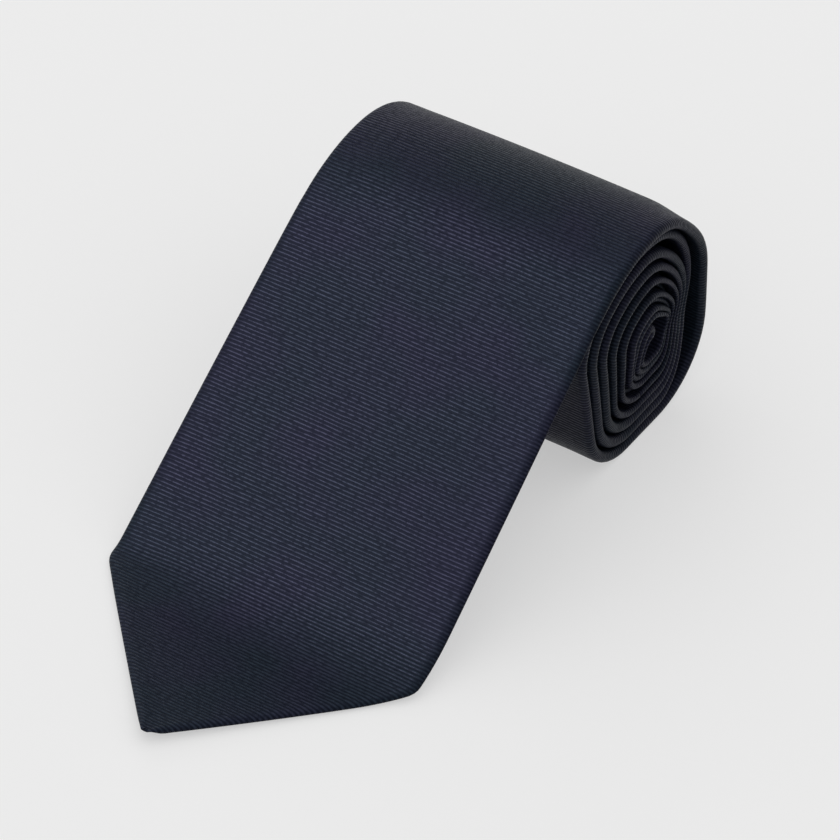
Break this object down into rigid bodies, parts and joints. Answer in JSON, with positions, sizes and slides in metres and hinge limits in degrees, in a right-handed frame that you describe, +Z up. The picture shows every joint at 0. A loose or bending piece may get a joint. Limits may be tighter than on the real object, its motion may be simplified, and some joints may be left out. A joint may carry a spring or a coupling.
{
  "type": "necktie",
  "caption": "Rolled dress necktie: the wide blade comes off the top of the roll and slopes down to its point, over interlining, tipping, seams and keeper loop.",
  "frame": {"origin": "on the surface that the tie rests on, under the middle of its outer box", "axes": "+X across the blade, along the roll's axis; +Y from the blade's point towards the roll; +Z up"},
  "size_m": [0.08, 0.1648, 0.059],
  "materials": {
    "navy_twill": "ribbed silk twill, soft sheen",
    "wool_interlining": "brushed wool",
    "navy_lining": "smooth satin lining",
    "navy_thread": "twisted silk thread",
    "label_cloth": "plain woven tape, blank"
  },
  "bodies": {
    "roll": {"blade_shell_wound": "navy_twill", "neck_shell": "navy_twill", "tail_shell": "navy_twill", "blade_interlining_wound": "wool_interlining", "tail_interlining": "wool_interlining", "interlining_lap": "wool_interlining", "tail_tipping": "navy_lining", "tail_hem_stitch": "navy_thread", "slip_stitch_wound": "navy_thread", "tail_bar_tack": "navy_thread", "keeper_loop": "navy_twill", "keeper_tack_left": "navy_thread", "keeper_tack_right": "navy_thread", "blade_neck_seam": "navy_thread", "neck_tail_seam": "navy_thread", "blank_label": "label_cloth"},
    "blade": {"blade_shell_front": "navy_twill", "blade_interlining_front": "wool_interlining", "blade_tipping": "navy_lining", "blade_hem_stitch": "navy_thread", "slip_stitch_front": "navy_thread", "blade_bar_tack": "navy_thread"}
  },
  "joints": [
    {"name": "blade_lift", "type": "hinge", "parent": "roll", "child": "blade", "pos_m": [0, 0.03429, 0.05194], "axis": [-1, 0, 0], "range_deg": [0, 60]}
  ]
}
